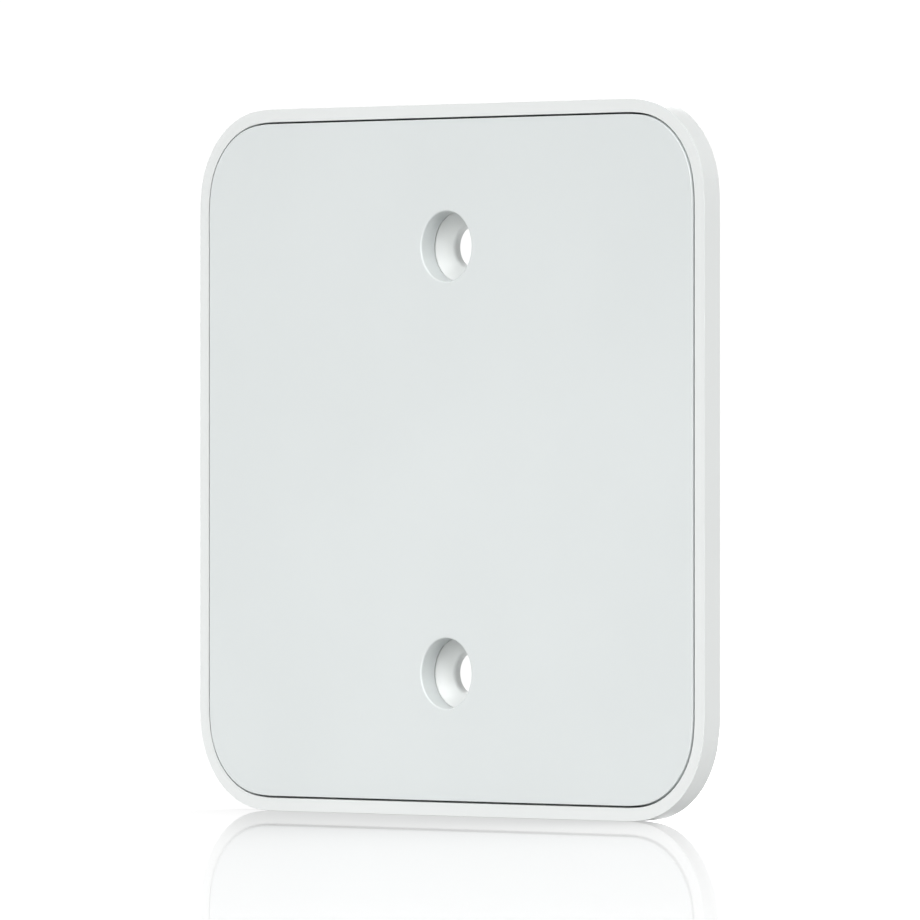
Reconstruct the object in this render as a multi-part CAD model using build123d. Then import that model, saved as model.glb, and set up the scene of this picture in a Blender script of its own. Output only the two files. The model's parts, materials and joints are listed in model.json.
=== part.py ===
from build123d import *
import os
from math import cos, radians, sin

# Square magnetic mounting plate that two screws hold to a wall or ceiling.
# It has a white base with a raised rim, and a grey-white front panel inside the rim that hides
# magnets on a steel yoke. All sizes are in millimetres.
#
# Frame: X runs across, Z runs up, and Y runs through the thickness. The wall face lies at Y = 0 and
# the front face looks along -Y. The origin is midway between the two screw holes on the wall face.
# Each piece is modelled lying flat, with its height above the wall along its own Z. The function
# stand_up then turns it into the frame.

# Outline: a square whose corners are three tangent arcs, so the sides ease into the corners
PLATE_SIDE = 100.0
CORNER_RADIUS = 13.0
LEAD_IN_RADIUS = 26.0
LEAD_IN_ANGLE = 8.0
RIM_WIDTH = 1.84
PANEL_GAP = 0.28
PANEL_INSET = RIM_WIDTH + PANEL_GAP

# Heights above the wall. The panel stands a little proud of the rim, so a device touches the panel.
RIM_FRONT = 5.7
PANEL_PROUD = 0.18
PANEL_FRONT = RIM_FRONT + PANEL_PROUD
RIM_BACK = 2.5
FLOOR_TOP = 1.2
STEP_TOP = 3.5
PANEL_BACK = 4.5

# Base: the pedestal that stands on the wall, and the cavity inside it
PEDESTAL_INSET = 4.0
CAVITY_INSET = 5.5
BOSS_RADIUS = 7.0
BOSS_TOP = 3.05

# Screw holes: a straight bore in the panel, then a 90 degree countersink and a clearance hole
SCREW_SPACING = 60.0
PANEL_HOLE_RADIUS = 4.95
COUNTERSINK_RADIUS = 4.93
SCREW_HOLE_RADIUS = 3.0
COUNTERSINK_BOTTOM = BOSS_TOP - (COUNTERSINK_RADIUS - SCREW_HOLE_RADIUS)

# Panel: a skirt round its edge and a collar round each screw hole, standing behind the skin
SKIRT_WIDTH = 2.2
COLLAR_RADIUS = 6.4

# Black adhesive seals between the panel and the base
BOND_THICKNESS = 0.2
BOND_CLEARANCE = 0.05
SEAL_THICKNESS = 0.15
SEAL_BORE_RADIUS = 5.1

# Magnets in two columns beside the screw holes, in a carrier on the steel yoke
YOKE_THICKNESS = 1.2
MAGNET_RADIUS = 6.0
MAGNET_THICKNESS = 2.0
MAGNET_COLUMNS = (-30.0, 30.0)
MAGNET_ROW_PITCH = 22.0
MAGNET_ROWS = 4
POCKET_CLEARANCE = 0.05
INSERT_CLEARANCE = 0.3
BOSS_CLEARANCE = 0.4

# Heat stakes of the base, which hold the yoke down
STAKE_COLUMNS = (-15.0, 15.0)
STAKE_ROWS = (-40.0, 0.0, 40.0)
STAKE_RADIUS = 1.0
STAKE_HOLE_RADIUS = 1.15
STAKE_HEAD_RADIUS = 1.9
STAKE_HEAD_HEIGHT = 0.6
STAKE_HEAD_ROUND = 0.54
STAKE_WINDOW_RADIUS = 2.3

# Shallow cells in the back of the pedestal, between the lands that touch the wall
LAND_WIDTH = 3.0
CELL_DEPTH = 0.5
RIB_WIDTH = 1.4
RIB_PITCH = 21.5
BOSS_LAND_RADIUS = 8.5
CELL_CORNER_RADIUS = 0.6
EJECTOR_RADIUS = 2.5
EJECTOR_DEPTH = 0.12
EJECTOR_OFFSET = 32.0

# Roundings and chamfers
PANEL_ROUND = 0.1
PANEL_HOLE_ROUND = 0.22
RIM_FRONT_ROUND = 0.04
RIM_BACK_ROUND = 0.1
PEDESTAL_ROUND = 0.3
NECK_ROUND = 0.55
MAGNET_CHAMFER = 0.2
YOKE_ROUND = 0.15

HALF_SIDE = PLATE_SIDE / 2
YOKE_TOP = FLOOR_TOP + YOKE_THICKNESS
SKIRT_FOOT = STEP_TOP + BOND_THICKNESS
COLLAR_FOOT = BOSS_TOP + SEAL_THICKNESS
INSERT_INSET = CAVITY_INSET + INSERT_CLEARANCE
SCREW_SPOTS = ((0.0, SCREW_SPACING / 2), (0.0, -SCREW_SPACING / 2))
STAKE_SPOTS = [(x, y) for x in STAKE_COLUMNS for y in STAKE_ROWS]
MAGNET_SPOTS = [
    (x, (row - (MAGNET_ROWS - 1) / 2) * MAGNET_ROW_PITCH)
    for x in MAGNET_COLUMNS
    for row in range(MAGNET_ROWS)
]


def corner_arcs(inset):
    """The three arcs of the corner at +X +Y, from the right-hand side round to the top side."""
    lead_in = LEAD_IN_RADIUS - inset
    middle = CORNER_RADIUS - inset
    offset = LEAD_IN_RADIUS - CORNER_RADIUS
    across = offset * cos(radians(LEAD_IN_ANGLE))
    along = offset * sin(radians(LEAD_IN_ANGLE))
    far = HALF_SIDE - LEAD_IN_RADIUS
    near = far + across - along
    return [
        CenterArc((far, near), lead_in, 0, LEAD_IN_ANGLE),
        CenterArc((far + across, far + across), middle, LEAD_IN_ANGLE, 90 - 2 * LEAD_IN_ANGLE),
        CenterArc((near, far), lead_in, 90 - LEAD_IN_ANGLE, LEAD_IN_ANGLE),
    ]


def outline(inset):
    """The plate's outline as a face, moved inwards by inset."""
    corners = []
    for turn in (0, 90, 180, 270):
        corners.append([Rot(0, 0, turn) * arc for arc in corner_arcs(inset)])
    edges = []
    for this_corner, next_corner in zip(corners, corners[1:] + corners[:1]):
        edges += this_corner
        edges.append(Line(this_corner[-1] @ 1, next_corner[0] @ 0))
    return make_face(edges)


def slab(inset, low, high):
    """The outline, moved inwards by inset, as a solid between two heights."""
    return Pos(0, 0, low) * extrude(outline(inset), high - low)


def disc(spot, radius, low, high):
    """A round solid on a vertical axis at spot, between two heights."""
    column = Cylinder(radius, high - low, align=(Align.CENTER, Align.CENTER, Align.MIN))
    return Pos(spot[0], spot[1], low) * column


def discs(spots, radius, low, high):
    """The same round solid at each of several spots."""
    return [disc(spot, radius, low, high) for spot in spots]


def edges_at(piece, height):
    """The edges of a piece that lie flat at one height."""
    return piece.edges().filter_by_position(Axis.Z, height, height)


def flat_face(piece, height):
    """The largest flat face of a piece at one height."""
    faces = piece.faces().filter_by(Axis.Z).filter_by_position(Axis.Z, height, height)
    return faces.sort_by(SortBy.AREA)[-1]


def outer_loop(piece, height):
    """The edges of a piece's outermost outline at one height."""
    return flat_face(piece, height).outer_wire().edges()


def inner_loops(piece, height):
    """The edges round the openings in a piece's largest flat face at one height."""
    return [edge for wire in flat_face(piece, height).inner_wires() for edge in wire.edges()]


def front_panel():
    """The front panel: a skin with a skirt, two collars and the two screw-head bores."""
    piece = slab(PANEL_INSET, SKIRT_FOOT, PANEL_FRONT)
    piece -= slab(PANEL_INSET + SKIRT_WIDTH, SKIRT_FOOT, PANEL_BACK)
    piece += discs(SCREW_SPOTS, COLLAR_RADIUS, COLLAR_FOOT, PANEL_BACK)
    piece -= discs(SCREW_SPOTS, PANEL_HOLE_RADIUS, COLLAR_FOOT, PANEL_FRONT)
    piece = fillet(inner_loops(piece, PANEL_FRONT), PANEL_HOLE_ROUND)
    return fillet(outer_loop(piece, PANEL_FRONT), PANEL_ROUND)


def screw_hole(spot):
    """The cutter of one screw hole in the base: a countersink whose neck is rounded."""
    cone = Cone(
        SCREW_HOLE_RADIUS,
        COUNTERSINK_RADIUS,
        BOSS_TOP - COUNTERSINK_BOTTOM,
        align=(Align.CENTER, Align.CENTER, Align.MIN),
    )
    cutter = Pos(0, 0, COUNTERSINK_BOTTOM) * cone + disc((0, 0), SCREW_HOLE_RADIUS, 0, RIM_FRONT)
    cutter = cutter & disc((0, 0), COUNTERSINK_RADIUS, 0, BOSS_TOP)
    cutter = fillet(edges_at(cutter, COUNTERSINK_BOTTOM), NECK_ROUND)
    return Pos(spot[0], spot[1], 0) * cutter


def stake(spot):
    """One heat stake: a pin through the yoke with a domed head formed over it."""
    pin = disc(spot, STAKE_RADIUS, FLOOR_TOP, YOKE_TOP)
    head = disc(spot, STAKE_HEAD_RADIUS, YOKE_TOP, YOKE_TOP + STAKE_HEAD_HEIGHT)
    head = fillet(edges_at(head, YOKE_TOP + STAKE_HEAD_HEIGHT), STAKE_HEAD_ROUND)
    return pin + head


def rear_cells():
    """The shallow cells moulded into the wall side of the pedestal, with ejector-pin marks."""
    span = PLATE_SIDE
    cells = outline(PEDESTAL_INSET + LAND_WIDTH)
    for step in (-1, 0, 1):
        cells -= Pos(step * RIB_PITCH, 0) * Rectangle(RIB_WIDTH, span)
        cells -= Pos(0, step * RIB_PITCH) * Rectangle(span, RIB_WIDTH)
    for x, y in SCREW_SPOTS:
        cells -= Pos(x, y) * Circle(BOSS_LAND_RADIUS)
    cells = fillet(cells.vertices(), CELL_CORNER_RADIUS)
    marks = [
        (EJECTOR_OFFSET * across, EJECTOR_OFFSET * up) for across in (-1, 1) for up in (-1, 1)
    ]
    hollow = extrude(cells, CELL_DEPTH)
    return hollow + discs(marks, EJECTOR_RADIUS, CELL_DEPTH, CELL_DEPTH + EJECTOR_DEPTH)


def rear_base():
    """The base: rim, pedestal, countersunk screw bosses and the stakes that hold the yoke."""
    piece = slab(0, RIM_BACK, RIM_FRONT) + slab(PEDESTAL_INSET, 0, RIM_BACK)
    piece -= slab(RIM_WIDTH, STEP_TOP, RIM_FRONT)
    piece -= slab(CAVITY_INSET, FLOOR_TOP, STEP_TOP)
    piece = fillet(edges_at(piece, RIM_FRONT), RIM_FRONT_ROUND)
    piece = fillet(outer_loop(piece, RIM_BACK), RIM_BACK_ROUND)
    piece = fillet(edges_at(piece, 0), PEDESTAL_ROUND)
    piece += discs(SCREW_SPOTS, BOSS_RADIUS, FLOOR_TOP, BOSS_TOP)
    piece += [stake(spot) for spot in STAKE_SPOTS]
    piece -= [screw_hole(spot) for spot in SCREW_SPOTS]
    return piece - rear_cells()


def bond_frame():
    """The black adhesive frame that holds the panel's skirt down and closes the gap round it."""
    piece = slab(RIM_WIDTH + BOND_CLEARANCE, STEP_TOP, SKIRT_FOOT)
    return piece - slab(PANEL_INSET + SKIRT_WIDTH, STEP_TOP, SKIRT_FOOT)


def collar_seal(spot):
    """The black ring between one collar of the panel and the boss behind it."""
    ring = disc(spot, COLLAR_RADIUS, BOSS_TOP, COLLAR_FOOT)
    return ring - disc(spot, SEAL_BORE_RADIUS, BOSS_TOP, COLLAR_FOOT)


def steel_yoke():
    """The steel plate behind the magnets, which closes their circuit and stiffens the base."""
    piece = slab(INSERT_INSET, FLOOR_TOP, YOKE_TOP)
    piece -= discs(SCREW_SPOTS, BOSS_RADIUS + BOSS_CLEARANCE, FLOOR_TOP, YOKE_TOP)
    piece -= discs(STAKE_SPOTS, STAKE_HOLE_RADIUS, FLOOR_TOP, YOKE_TOP)
    return fillet(outer_loop(piece, YOKE_TOP), YOKE_ROUND)


def magnet_carrier():
    """The moulded sheet that spaces the magnets and backs the panel's skin."""
    top = YOKE_TOP + MAGNET_THICKNESS
    piece = slab(INSERT_INSET, YOKE_TOP, top)
    piece -= discs(SCREW_SPOTS, BOSS_RADIUS + BOSS_CLEARANCE, YOKE_TOP, top)
    piece -= discs(MAGNET_SPOTS, MAGNET_RADIUS + POCKET_CLEARANCE, YOKE_TOP, top)
    return piece - discs(STAKE_SPOTS, STAKE_WINDOW_RADIUS, YOKE_TOP, top)


def magnet(spot):
    """One nickel-plated disc magnet, standing on the yoke."""
    top = YOKE_TOP + MAGNET_THICKNESS
    piece = disc(spot, MAGNET_RADIUS, YOKE_TOP, top)
    return chamfer(edges_at(piece, YOKE_TOP) + edges_at(piece, top), MAGNET_CHAMFER)


def stand_up(piece):
    """Turn a flat piece into the frame, so that its height above the wall runs along -Y."""
    return Plane.XZ * piece


def write(name, piece):
    """Write one piece to its own STEP file."""
    export_step(stand_up(piece), f"parts/{name}.step")


def main():
    os.makedirs("parts", exist_ok=True)
    write("front_panel", front_panel())
    write("rear_base", rear_base())
    write("bond_frame", bond_frame())
    write("steel_yoke", steel_yoke())
    write("magnet_carrier", magnet_carrier())
    for name, spot in zip(("collar_seal_upper", "collar_seal_lower"), SCREW_SPOTS):
        write(name, collar_seal(spot))
    for number, spot in enumerate(MAGNET_SPOTS, start=1):
        write(f"magnet_{number}", magnet(spot))


main()
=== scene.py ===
import json
import math

import bpy
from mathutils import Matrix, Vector


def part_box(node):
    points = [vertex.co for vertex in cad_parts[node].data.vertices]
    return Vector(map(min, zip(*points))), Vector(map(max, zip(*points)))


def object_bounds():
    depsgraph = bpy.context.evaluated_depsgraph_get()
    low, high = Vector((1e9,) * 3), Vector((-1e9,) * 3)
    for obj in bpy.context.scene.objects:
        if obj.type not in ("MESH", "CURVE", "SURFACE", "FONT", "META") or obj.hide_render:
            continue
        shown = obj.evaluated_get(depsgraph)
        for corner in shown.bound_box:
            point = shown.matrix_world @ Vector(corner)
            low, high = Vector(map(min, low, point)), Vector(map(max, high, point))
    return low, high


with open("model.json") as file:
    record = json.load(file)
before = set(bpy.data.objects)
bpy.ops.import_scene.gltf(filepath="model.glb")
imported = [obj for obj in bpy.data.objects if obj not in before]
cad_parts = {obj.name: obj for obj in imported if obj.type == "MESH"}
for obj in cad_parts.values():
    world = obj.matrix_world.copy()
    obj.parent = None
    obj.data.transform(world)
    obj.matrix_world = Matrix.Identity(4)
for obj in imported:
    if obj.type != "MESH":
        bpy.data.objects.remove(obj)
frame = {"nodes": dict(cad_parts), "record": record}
cad_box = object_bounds()
MM = 0.001
MICRON = 0.000001

# Camera, on the level of the plate's middle and nearly 45 degrees round to its right
CAMERA_AZIMUTH = math.radians(44.86)
CAMERA_DISTANCE = 1.655
CAMERA_SIDE_STEP = 1.853 * MM
CAMERA_LENS = 461.0
SENSOR_WIDTH = 36.0

# Softboxes: name, azimuth and elevation in degrees, distance and size in metres, power in watts.
# The azimuth goes from straight ahead of the plate, round by its right.
SOFTBOXES = (
    ("high_front", 18, 45, 3.0, 1.6, 29.5),
    ("middle_front", 0, 18, 3.0, 1.2, 37.3),
    ("middle_right", 70, 18, 3.0, 1.2, 46.5),
    ("top_right", 100, 78, 3.0, 1.6, 19.0),
    ("under_right", 110, -35, 3.0, 1.4, 26.0),
    ("under_front_right", 75, -35, 3.0, 1.4, 10.5),
    ("steep_under", 80, -75, 3.0, 1.4, 14.5),
    ("near_foot", -5, -15, 0.207, 0.06, 0.098),
    ("low_back", 210, 12, 3.0, 1.6, 45.0),
    ("low_left", 262, 12, 3.0, 1.4, 30.0),
)

# A spotlight with a soft edge, aimed at the foot of the plate, which brightens its lower part
SPOT_AZIMUTH = 5
SPOT_ELEVATION = 20
SPOT_DISTANCE = 2.0
SPOT_RADIUS = 0.3
SPOT_CONE = 9.8
SPOT_WATTS = 50.0
SPOT_AIM_DROP = 0.1

# The white surround as the camera sees it, as the floor mirrors it behind the plate, and the little
# light that it adds. The brighter part behind the plate grows in from BEHIND_START to BEHIND_FULL,
# which are cosines of the angle from the camera's line of sight.
BACKDROP_WHITE = 1.05
BACKDROP_BEHIND = 1.5
BEHIND_START = 0.75
BEHIND_FULL = 0.95
SURROUND_FILL = 0.04

# The floor glows instead of being lit: its painted light where no sky reaches it, the painted
# skylight that open floor adds, and its shine. The painted shade comes from ambient occlusion
# gathered within FLOOR_SKY_REACH, and falls off with FLOOR_SKY_POWER.
# It fades out into the white surround from FLOOR_NEAR to FLOOR_FAR metres from the origin.
FLOOR_PAINTED_SHADE = 0.35
FLOOR_PAINTED_SKYLIGHT = 0.34
FLOOR_SKY_REACH = 0.25
FLOOR_SKY_POWER = 3
FLOOR_SHINE = 0.36
FLOOR_ROUGHNESS = 0.03
FLOOR_NEAR = 0.25
FLOOR_FAR = 0.60

# A surface starts to count as an edge at EDGE_START, and counts fully from EDGE_FULL down. Both are
# cosines of the angle between its true normal and its rounded one, which takes EDGE_SAMPLES rays.
EDGE_SAMPLES = 6
EDGE_START = 0.995
EDGE_FULL = 0.85

# Moulded plastic: how far its wear and painted edge highlight reach in from an edge, how much paler
# (partly wear, partly a painted highlight) and smoother it is there, the size of its flow marks,
# and how its roughness and its surface wander
EDGE_REACH = 0.15 * MM
EDGE_STRENGTH = 0.3
EDGE_WEAR_AND_HIGHLIGHT_PALER = 1.03
EDGE_SMOOTHER = 0.06
FLOW_SIZE = 26 * MM
HANDLED_SIZE = 15 * MM
ROUGHNESS_DRIFT = 0.03
WAVE_SIZE = 8 * MM
WAVE_DEPTH = 6 * MICRON


def plate_middle():
    """The middle of the plate, at the front of its rim."""
    low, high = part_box("rear_base")
    return Vector(((low[0] + high[0]) / 2, low[1], (low[2] + high[2]) / 2))


def direction(azimuth, elevation):
    """The direction from the plate at these angles in radians."""
    level = math.cos(elevation)
    return Vector((math.sin(azimuth) * level, -math.cos(azimuth) * level, math.sin(elevation)))


def add_camera():
    data = bpy.data.cameras.new("camera")
    data.sensor_width = SENSOR_WIDTH
    data.lens = CAMERA_LENS
    data.clip_end = 100
    camera = bpy.data.objects.new("camera", data)
    bpy.context.scene.collection.objects.link(camera)
    right = Vector((math.cos(CAMERA_AZIMUTH), math.sin(CAMERA_AZIMUTH), 0))
    away = direction(CAMERA_AZIMUTH, 0)
    camera.location = plate_middle() + away * CAMERA_DISTANCE + right * CAMERA_SIDE_STEP
    camera.rotation_euler = (math.radians(90), 0, CAMERA_AZIMUTH)
    bpy.context.scene.camera = camera


def add_softbox(name, azimuth, elevation, distance, size, power):
    """A square area light aimed at the plate, which the camera doesn't see."""
    data = bpy.data.lights.new(name + "_softbox", "AREA")
    data.size = size
    data.energy = power
    light = bpy.data.objects.new(name + "_softbox", data)
    bpy.context.scene.collection.objects.link(light)
    away = direction(math.radians(azimuth), math.radians(elevation))
    light.location = plate_middle() + away * distance
    light.rotation_euler = away.to_track_quat("Z", "Y").to_euler()
    light.visible_camera = False


def add_spot():
    """A soft-edged spotlight aimed below the plate's middle."""
    data = bpy.data.lights.new("foot_spot", "SPOT")
    data.shadow_soft_size = SPOT_RADIUS
    data.spot_size = math.radians(SPOT_CONE)
    data.spot_blend = 1.0
    data.energy = SPOT_WATTS
    light = bpy.data.objects.new("foot_spot", data)
    bpy.context.scene.collection.objects.link(light)
    away = direction(math.radians(SPOT_AZIMUTH), math.radians(SPOT_ELEVATION))
    light.location = plate_middle() + away * SPOT_DISTANCE
    beam = plate_middle() - Vector((0, 0, SPOT_AIM_DROP)) - light.location
    light.rotation_euler = beam.to_track_quat("-Z", "Y").to_euler()
    light.visible_camera = False


def add_world():
    """A white surround for the camera and for reflections, which hardly lights matt surfaces."""
    world = bpy.data.worlds.new("studio")
    bpy.context.scene.world = world
    world.cycles.sampling_method = "NONE"
    world.use_nodes = True
    nodes = world.node_tree.nodes
    links = world.node_tree.links
    nodes.clear()
    seen = nodes.new("ShaderNodeBackground")
    seen.inputs["Color"].default_value = (1, 1, 1, 1)
    fill = nodes.new("ShaderNodeBackground")
    fill.inputs["Color"].default_value = (1, 1, 1, 1)
    fill.inputs["Strength"].default_value = SURROUND_FILL
    path = nodes.new("ShaderNodeLightPath")
    place = nodes.new("ShaderNodeTexCoord")
    behind = nodes.new("ShaderNodeVectorMath")
    behind.operation = "DOT_PRODUCT"
    behind.inputs[1].default_value = -direction(CAMERA_AZIMUTH, 0)
    links.new(place.outputs["Generated"], behind.inputs[0])
    brightness = nodes.new("ShaderNodeMapRange")
    brightness.interpolation_type = "SMOOTHSTEP"
    brightness.inputs["From Min"].default_value = BEHIND_START
    brightness.inputs["From Max"].default_value = BEHIND_FULL
    brightness.inputs["To Min"].default_value = BACKDROP_WHITE
    brightness.inputs["To Max"].default_value = BACKDROP_BEHIND
    mirrored = nodes.new("ShaderNodeMath")
    mirrored.operation = "MULTIPLY"
    links.new(behind.outputs["Value"], mirrored.inputs[0])
    links.new(path.outputs["Is Glossy Ray"], mirrored.inputs[1])
    links.new(mirrored.outputs[0], brightness.inputs["Value"])
    links.new(brightness.outputs["Result"], seen.inputs["Strength"])
    mix = nodes.new("ShaderNodeMixShader")
    output = nodes.new("ShaderNodeOutputWorld")
    links.new(path.outputs["Is Diffuse Ray"], mix.inputs[0])
    links.new(seen.outputs[0], mix.inputs[1])
    links.new(fill.outputs[0], mix.inputs[2])
    links.new(mix.outputs[0], output.inputs[0])


class Finish:
    """One Principled material.

    Its patterns are solid ones, in metres, so they run on round every edge.
    """

    def __init__(self, name, roughness, **settings):
        self.material = bpy.data.materials.new(name)
        self.material.use_nodes = True
        self.nodes = self.material.node_tree.nodes
        self.links = self.material.node_tree.links
        self.nodes.clear()
        self.shader = self.nodes.new("ShaderNodeBsdfPrincipled")
        self.shader.inputs["Roughness"].default_value = roughness
        for socket, value in settings.items():
            self.shader.inputs[socket.replace("_", " ")].default_value = value
        output = self.nodes.new("ShaderNodeOutputMaterial")
        self.links.new(self.shader.outputs["BSDF"], output.inputs["Surface"])
        self.place = self.nodes.new("ShaderNodeTexCoord")
        self.relief = None

    def pattern_place(self, size, stretch=(1, 1, 1)):
        """Object coordinates, scaled so that one unit is size metres."""
        scale = self.nodes.new("ShaderNodeMapping")
        scale.inputs["Scale"].default_value = [s / size for s in stretch]
        self.links.new(self.place.outputs["Object"], scale.inputs["Vector"])
        return scale.outputs["Vector"]

    def cloud(self, size, detail=2.0, stretch=(1, 1, 1)):
        """A value that drifts between 0 and 1 over about size metres."""
        noise = self.nodes.new("ShaderNodeTexNoise")
        noise.inputs["Scale"].default_value = 1
        noise.inputs["Detail"].default_value = detail
        self.links.new(self.pattern_place(size, stretch), noise.inputs["Vector"])
        return noise.outputs["Fac"]

    def cells(self, size):
        """The distance to the middle of the nearest of many cells, each about size metres across."""
        voronoi = self.nodes.new("ShaderNodeTexVoronoi")
        voronoi.feature = "F1"
        voronoi.inputs["Scale"].default_value = 1
        self.links.new(self.pattern_place(size), voronoi.inputs["Vector"])
        return voronoi.outputs["Distance"]

    def spread(self, value, low, high, start=0.3, stop=0.7):
        """A value that runs smoothly from low to high as the given one runs from start to stop."""
        ramp = self.nodes.new("ShaderNodeMapRange")
        ramp.interpolation_type = "SMOOTHSTEP"
        ramp.inputs["From Min"].default_value = start
        ramp.inputs["From Max"].default_value = stop
        ramp.inputs["To Min"].default_value = low
        ramp.inputs["To Max"].default_value = high
        self.links.new(value, ramp.inputs["Value"])
        return ramp.outputs["Result"]

    def work_out(self, operation, first, second):
        """The sum, product or other result of two values, of which the second may be a number."""
        maths = self.nodes.new("ShaderNodeMath")
        maths.operation = operation
        self.links.new(first, maths.inputs[0])
        if isinstance(second, (int, float)):
            maths.inputs[1].default_value = second
        else:
            self.links.new(second, maths.inputs[1])
        return maths.outputs["Value"]

    def near_edges(self, reach):
        """A value that is 1 where the surface turns within reach metres, and 0 where it is flat."""
        rounded = self.nodes.new("ShaderNodeBevel")
        rounded.samples = EDGE_SAMPLES
        rounded.inputs["Radius"].default_value = reach
        true = self.nodes.new("ShaderNodeNewGeometry")
        agreement = self.nodes.new("ShaderNodeVectorMath")
        agreement.operation = "DOT_PRODUCT"
        self.links.new(rounded.outputs["Normal"], agreement.inputs[0])
        self.links.new(true.outputs["Normal"], agreement.inputs[1])
        return self.spread(agreement.outputs["Value"], 1, 0, start=EDGE_FULL, stop=EDGE_START)

    def facing(self, axis, start, stop):
        """A value that is 1 on faces that point along an axis of the piece, and 0 on the rest."""
        split = self.nodes.new("ShaderNodeSeparateXYZ")
        self.links.new(self.place.outputs["Normal"], split.inputs["Vector"])
        return self.spread(split.outputs[axis], 0, 1, start=start, stop=stop)

    def blend(self, amount, first, second):
        """A colour that goes from first to second as amount goes from 0 to 1.

        Either of the two is a plain colour or the output of another node.
        """
        mix = self.nodes.new("ShaderNodeMix")
        mix.data_type = "RGBA"
        factor, colour_a, colour_b = mix.inputs[0], mix.inputs[6], mix.inputs[7]
        self.links.new(amount, factor)
        for colour, socket in ((first, colour_a), (second, colour_b)):
            if isinstance(colour, tuple):
                socket.default_value = (*colour, 1)
            else:
                self.links.new(colour, socket)
        return mix.outputs[2]

    def colour_from(self, colour):
        self.links.new(colour, self.shader.inputs["Base Color"])

    def roughness_from(self, value):
        self.links.new(value, self.shader.inputs["Roughness"])

    def raise_by(self, height, depth):
        """Adds a relief whose height goes from 0 to 1 over depth metres, on top of any before it."""
        bump = self.nodes.new("ShaderNodeBump")
        bump.inputs["Distance"].default_value = depth
        self.links.new(height, bump.inputs["Height"])
        if self.relief:
            self.links.new(self.relief, bump.inputs["Normal"])
        self.relief = bump.outputs["Normal"]
        self.links.new(self.relief, self.shader.inputs["Normal"])


def moulded_plastic(name, dark, light, roughness, grain, grain_depth):
    """Moulded plastic with a fine grain, faint flow marks, and slightly smoother edges, paler from
    wear and a painted edge highlight.
    """
    finish = Finish(name, roughness, IOR=1.5)
    edges = finish.near_edges(EDGE_REACH)
    flow = finish.spread(finish.cloud(FLOW_SIZE, detail=3), 0, 1)
    body = finish.blend(flow, dark, light)
    # Paler edges: partly wear, partly a painted highlight along the rounded edges
    paler = tuple(min(1, channel * EDGE_WEAR_AND_HIGHLIGHT_PALER) for channel in light)
    wear_and_highlight = finish.work_out("MULTIPLY", edges, EDGE_STRENGTH)
    finish.colour_from(finish.blend(wear_and_highlight, body, paler))
    smoothest = roughness - ROUGHNESS_DRIFT
    roughest = roughness + ROUGHNESS_DRIFT
    handled = finish.spread(finish.cloud(HANDLED_SIZE, detail=4), smoothest, roughest)
    tooth = finish.cloud(grain, detail=2)
    speckle = finish.spread(tooth, -ROUGHNESS_DRIFT, ROUGHNESS_DRIFT)
    speckled = finish.work_out("ADD", handled, speckle)
    rubbed = finish.work_out("MULTIPLY", edges, EDGE_SMOOTHER)
    finish.roughness_from(finish.work_out("SUBTRACT", speckled, rubbed))
    finish.raise_by(finish.cloud(WAVE_SIZE, detail=1), WAVE_DEPTH)
    finish.raise_by(tooth, grain_depth)
    return finish


def panel_finish():
    """Cool grey-white satin plastic."""
    finish = moulded_plastic(
        "panel_plastic_finish",
        dark=(0.666, 0.700, 0.698),
        light=(0.678, 0.712, 0.710),
        roughness=0.40,
        grain=0.30 * MM,
        grain_depth=3 * MICRON,
    )
    return finish.material


def base_finish():
    """White satin plastic, with a coarse spark-eroded texture on the faces turned to the wall."""
    finish = moulded_plastic(
        "base_plastic_finish",
        dark=(0.740, 0.760, 0.753),
        light=(0.752, 0.772, 0.765),
        roughness=0.36,
        grain=0.25 * MM,
        grain_depth=2.5 * MICRON,
    )
    backs = finish.facing("Y", 0.6, 0.9)
    erosion = finish.work_out("MULTIPLY", finish.cloud(0.55 * MM, detail=3), backs)
    finish.raise_by(erosion, 30 * MICRON)
    return finish.material


def seal_finish():
    """Black closed-cell foam tape."""
    finish = Finish("seal_finish", 0.85, IOR=1.45)
    pores = finish.cells(0.22 * MM)
    cell_walls = finish.spread(pores, 0, 1, start=0.1, stop=0.8)
    foam = finish.blend(cell_walls, (0.012, 0.012, 0.013), (0.035, 0.035, 0.036))
    finish.colour_from(foam)
    finish.roughness_from(finish.spread(finish.cloud(1.5 * MM), 0.75, 0.95))
    finish.raise_by(pores, 40 * MICRON)
    return finish.material


def zinc_finish():
    """Rolled sheet steel with bright zinc plating, duller at its sheared edges."""
    finish = Finish("yoke_steel_finish", 0.34, Metallic=1.0)
    rolled = finish.cloud(0.25 * MM, detail=3, stretch=(1, 1, 0.03))
    patches = finish.spread(finish.cloud(9 * MM, detail=4), 0, 1)
    plate = finish.blend(patches, (0.56, 0.58, 0.60), (0.67, 0.68, 0.69))
    edges = finish.near_edges(0.35 * MM)
    sheared = finish.work_out("MULTIPLY", edges, 0.6)
    finish.colour_from(finish.blend(sheared, plate, (0.46, 0.47, 0.48)))
    streaks = finish.spread(rolled, 0.26, 0.40)
    dulled = finish.work_out("MULTIPLY", edges, 0.15)
    finish.roughness_from(finish.work_out("ADD", streaks, dulled))
    finish.raise_by(rolled, 2 * MICRON)
    return finish.material


def carrier_finish():
    """Natural, unpigmented moulded plastic."""
    finish = moulded_plastic(
        "carrier_plastic_finish",
        dark=(0.60, 0.59, 0.55),
        light=(0.66, 0.65, 0.61),
        roughness=0.46,
        grain=0.40 * MM,
        grain_depth=5 * MICRON,
    )
    return finish.material


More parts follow.
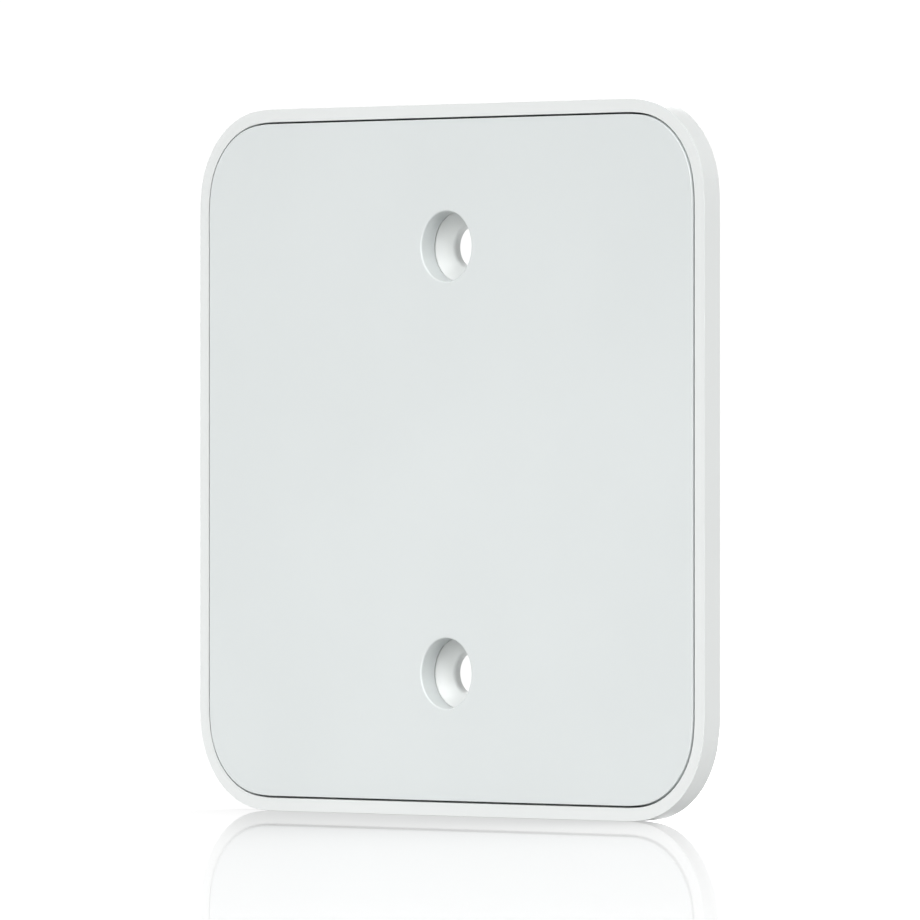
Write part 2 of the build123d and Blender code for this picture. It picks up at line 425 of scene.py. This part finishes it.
def nickel_finish():
    """Bright nickel plating over tumbled magnets, which are a little duller round their edges."""
    finish = Finish("magnet_plating_finish", 0.20, Metallic=1.0)
    edges = finish.near_edges(0.25 * MM)
    patches = finish.spread(finish.cloud(3 * MM, detail=3), 0, 1)
    tone = finish.blend(patches, (0.62, 0.60, 0.56), (0.70, 0.68, 0.64))
    knocked = finish.work_out("MULTIPLY", edges, 0.5)
    finish.colour_from(finish.blend(knocked, tone, (0.55, 0.53, 0.50)))
    tumbled = finish.cloud(0.12 * MM, detail=3)
    scuffs = finish.spread(tumbled, 0.14, 0.24)
    dulled = finish.work_out("MULTIPLY", edges, 0.1)
    finish.roughness_from(finish.work_out("ADD", scuffs, dulled))
    finish.raise_by(tumbled, 1.5 * MICRON)
    return finish.material


def floor_material():
    """A white floor with a soft shine, which fades away into the white surround.

    It glows by how much of the sky each spot sees, as a floor does under an even white sky; the
    darkening near the plate is painted shade from ambient occlusion, not a cast shadow.
    """
    material = bpy.data.materials.new("studio_floor")
    material.use_nodes = True
    material.cycles.emission_sampling = "NONE"
    nodes = material.node_tree.nodes
    links = material.node_tree.links
    nodes.clear()
    # Painted shade: ambient occlusion dims the floor's glow where the plate is near
    sky = nodes.new("ShaderNodeAmbientOcclusion")
    sky.inputs["Distance"].default_value = FLOOR_SKY_REACH
    gathered = nodes.new("ShaderNodeMath")
    gathered.operation = "POWER"
    gathered.inputs[1].default_value = FLOOR_SKY_POWER
    links.new(sky.outputs["AO"], gathered.inputs[0])
    level = nodes.new("ShaderNodeMath")
    level.operation = "MULTIPLY_ADD"
    level.inputs[1].default_value = FLOOR_PAINTED_SKYLIGHT
    level.inputs[2].default_value = FLOOR_PAINTED_SHADE
    links.new(gathered.outputs[0], level.inputs[0])
    glow = nodes.new("ShaderNodeEmission")
    links.new(level.outputs[0], glow.inputs["Strength"])
    shine = nodes.new("ShaderNodeBsdfGlossy")
    shine.inputs["Color"].default_value = (FLOOR_SHINE, FLOOR_SHINE, FLOOR_SHINE, 1)
    shine.inputs["Roughness"].default_value = FLOOR_ROUGHNESS
    surface = nodes.new("ShaderNodeAddShader")
    links.new(glow.outputs[0], surface.inputs[0])
    links.new(shine.outputs[0], surface.inputs[1])
    geometry = nodes.new("ShaderNodeNewGeometry")
    flat = nodes.new("ShaderNodeVectorMath")
    flat.operation = "MULTIPLY"
    flat.inputs[1].default_value = (1, 1, 0)
    length = nodes.new("ShaderNodeVectorMath")
    length.operation = "LENGTH"
    links.new(geometry.outputs["Position"], flat.inputs[0])
    links.new(flat.outputs[0], length.inputs[0])
    fade = nodes.new("ShaderNodeMapRange")
    fade.interpolation_type = "SMOOTHSTEP"
    fade.inputs["From Min"].default_value = FLOOR_NEAR
    fade.inputs["From Max"].default_value = FLOOR_FAR
    links.new(length.outputs["Value"], fade.inputs["Value"])
    clear = nodes.new("ShaderNodeBsdfTransparent")
    blend = nodes.new("ShaderNodeMixShader")
    links.new(fade.outputs["Result"], blend.inputs[0])
    links.new(surface.outputs[0], blend.inputs[1])
    links.new(clear.outputs[0], blend.inputs[2])
    output = nodes.new("ShaderNodeOutputMaterial")
    links.new(blend.outputs[0], output.inputs[0])
    return material


def add_floor():
    """The floor touches the plate's lowest edge.

    It shows painted shade in place of cast shadows, takes real reflections, and sends no light back
    up.
    """
    low, high = cad_box
    mesh = bpy.data.meshes.new("floor")
    corners = [(-1, -1), (1, -1), (1, 1), (-1, 1)]
    places = [(x * FLOOR_FAR, y * FLOOR_FAR, low[2]) for x, y in corners]
    mesh.from_pydata(places, [], [(0, 1, 2, 3)])
    floor = bpy.data.objects.new("floor", mesh)
    bpy.context.scene.collection.objects.link(floor)
    mesh.materials.append(floor_material())
    floor.visible_diffuse = False
    floor.visible_shadow = False


def dress_nodes():
    """Gives each CAD node the finish of its material slot."""
    finishes = {
        "panel_plastic": panel_finish(),
        "base_plastic": base_finish(),
        "seal": seal_finish(),
        "yoke_steel": zinc_finish(),
        "carrier_plastic": carrier_finish(),
        "magnet_plating": nickel_finish(),
    }
    slots = {part["node"]: part["material_slot"] for part in frame["record"]["subparts"]}
    for name, node in frame["nodes"].items():
        node.data.materials.clear()
        node.data.materials.append(finishes[slots[name]])


bpy.context.scene.view_settings.view_transform = "Standard"
add_camera()
for softbox in SOFTBOXES:
    add_softbox(*softbox)
add_spot()
add_world()
add_floor()
dress_nodes()
